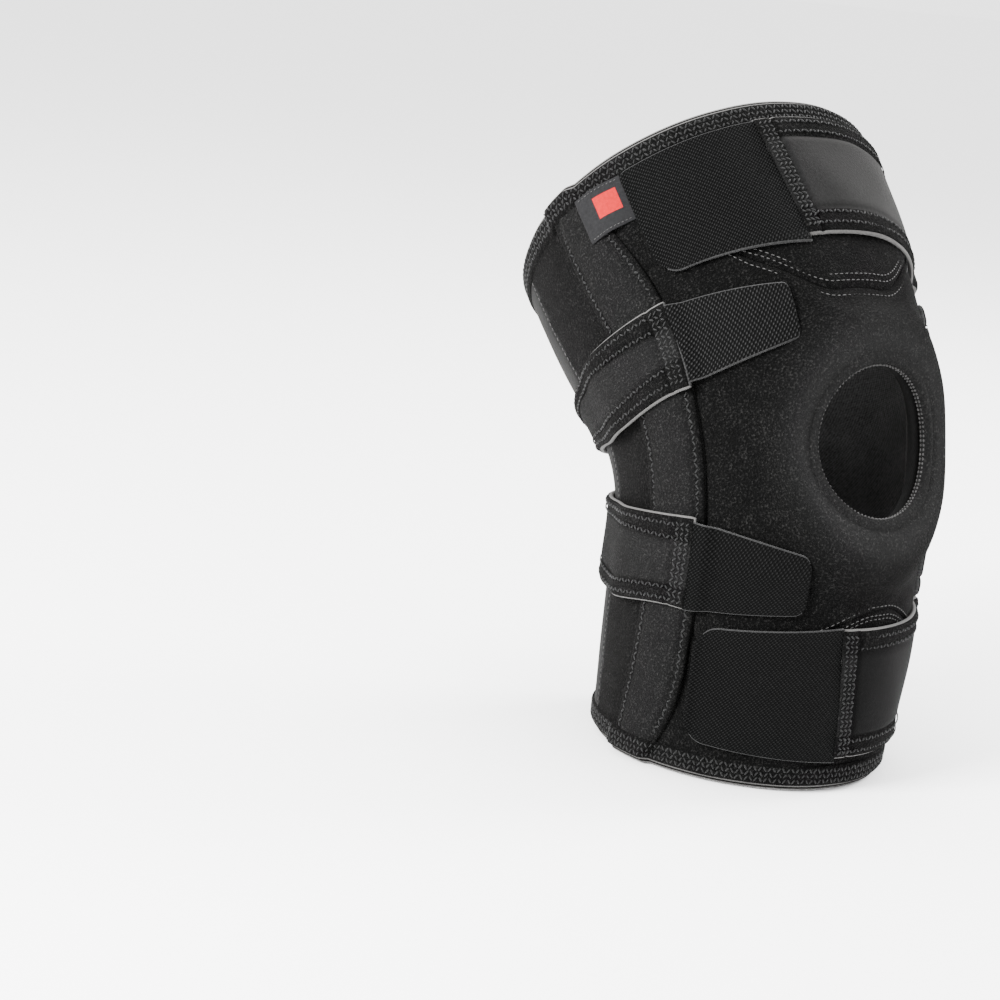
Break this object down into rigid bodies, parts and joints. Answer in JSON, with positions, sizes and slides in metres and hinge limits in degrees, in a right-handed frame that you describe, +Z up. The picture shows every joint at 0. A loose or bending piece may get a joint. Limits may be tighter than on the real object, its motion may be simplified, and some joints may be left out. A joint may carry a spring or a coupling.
{
  "type": "knee brace",
  "caption": "Wrap-on knee support in black neoprene, bent as worn, with an open kneecap ring, side stays in sewn channels and hook-and-loop straps whose mesh ends peel open.",
  "frame": {"origin": "middle of the bounding box at the level of the calf rim, which stands on the floor", "axes": "+Z up along the calf, -Y to the front (kneecap side), -X to the lateral side with the label and the strap ends"},
  "size_m": [0.1602, 0.1906, 0.2604],
  "materials": {
    "plush_neoprene": "brushed loop face on neoprene",
    "smooth_neoprene": "smooth nylon face on neoprene",
    "stretch_knit": "fine stretch knit",
    "strap_mesh": "woven spacer mesh",
    "hook_tape": "moulded hooks",
    "foam": "closed-cell foam",
    "binding_thread": "overlocked thread",
    "label_weave": "woven satin label",
    "stay_steel": "spring steel",
    "cap_plastic": "moulded"
  },
  "bodies": {
    "calf_cuff": {"calf_front_panel": "plush_neoprene", "calf_back_panel": "stretch_knit", "knee_back_panel": "stretch_knit", "lateral_stay_channel": "plush_neoprene", "medial_stay_channel": "plush_neoprene", "lateral_stay": "stay_steel", "medial_stay": "stay_steel", "lateral_stay_lower_cap": "cap_plastic", "medial_stay_lower_cap": "cap_plastic", "lower_mid_strap_side": "plush_neoprene", "lower_mid_strap_rear": "plush_neoprene", "lower_mid_strap_anchor": "plush_neoprene", "bottom_strap_band": "smooth_neoprene"},
    "thigh_cuff": {"thigh_front_panel": "plush_neoprene", "thigh_back_panel": "stretch_knit", "top_strap_band": "smooth_neoprene", "upper_mid_strap_side": "plush_neoprene", "upper_mid_strap_rear": "plush_neoprene", "upper_mid_strap_anchor": "plush_neoprene", "side_label": "label_weave", "lateral_stay_upper_cap": "cap_plastic", "medial_stay_upper_cap": "cap_plastic"},
    "kneecap_section": {"knee_front_panel": "plush_neoprene", "patella_ring": "foam", "patella_rim_binding": "binding_thread"},
    "top_strap_tab": {"top_strap_mesh": "strap_mesh", "top_strap_hook_pad": "hook_tape"},
    "upper_mid_strap_tab": {"upper_mid_strap_mesh": "strap_mesh", "upper_mid_strap_hook_pad": "hook_tape"},
    "lower_mid_strap_tab": {"lower_mid_strap_mesh": "strap_mesh", "lower_mid_strap_hook_pad": "hook_tape"},
    "bottom_strap_tab": {"bottom_strap_mesh": "strap_mesh", "bottom_strap_hook_pad": "hook_tape"}
  },
  "joints": [
    {"name": "knee_flexion", "type": "hinge", "parent": "calf_cuff", "child": "thigh_cuff", "pos_m": [-0.00157, -0.02759, 0.131], "axis": [-1, 0, 0], "range_deg": [-30, 16], "stiffness_Nm_per_rad": 3, "deforming": ["knee_back_panel", "lateral_stay_channel", "medial_stay_channel", "lateral_stay", "medial_stay", "lower_mid_strap_rear", "upper_mid_strap_rear", "knee_front_panel"]},
    {"name": "kneecap_follow", "type": "hinge", "parent": "calf_cuff", "child": "kneecap_section", "pos_m": [-0.00157, -0.02759, 0.131], "axis": [-1, 0, 0], "range_deg": [-15, 8], "deforming": ["knee_front_panel", "knee_back_panel", "lateral_stay_channel", "medial_stay_channel", "lateral_stay", "medial_stay", "lower_mid_strap_rear", "upper_mid_strap_rear"]},
    {"name": "top_strap_peel", "type": "hinge", "parent": "thigh_cuff", "child": "top_strap_tab", "pos_m": [-0.0243, -0.03171, 0.23322], "axis": [-0.1005, 0.6838, 0.7227], "range_deg": [0, 100]},
    {"name": "upper_mid_strap_peel", "type": "hinge", "parent": "thigh_cuff", "child": "upper_mid_strap_tab", "pos_m": [-0.06743, -0.03714, 0.16871], "axis": [0.1104, -0.5383, -0.8355], "range_deg": [0, 100]},
    {"name": "lower_mid_strap_peel", "type": "hinge", "parent": "calf_cuff", "child": "lower_mid_strap_tab", "pos_m": [-0.06255, -0.05692, 0.08519], "axis": [0.0191, -0.0057, -0.9998], "range_deg": [0, 100]},
    {"name": "bottom_strap_peel", "type": "hinge", "parent": "calf_cuff", "child": "bottom_strap_tab", "pos_m": [-0.0104, -0.09284, 0.04092], "axis": [-0.1267, -0.033, 0.9914], "range_deg": [0, 100]}
  ],
  "couplings": [
    {"joint": "kneecap_follow", "follows": "knee_flexion", "ratio": 0.5}
  ]
}
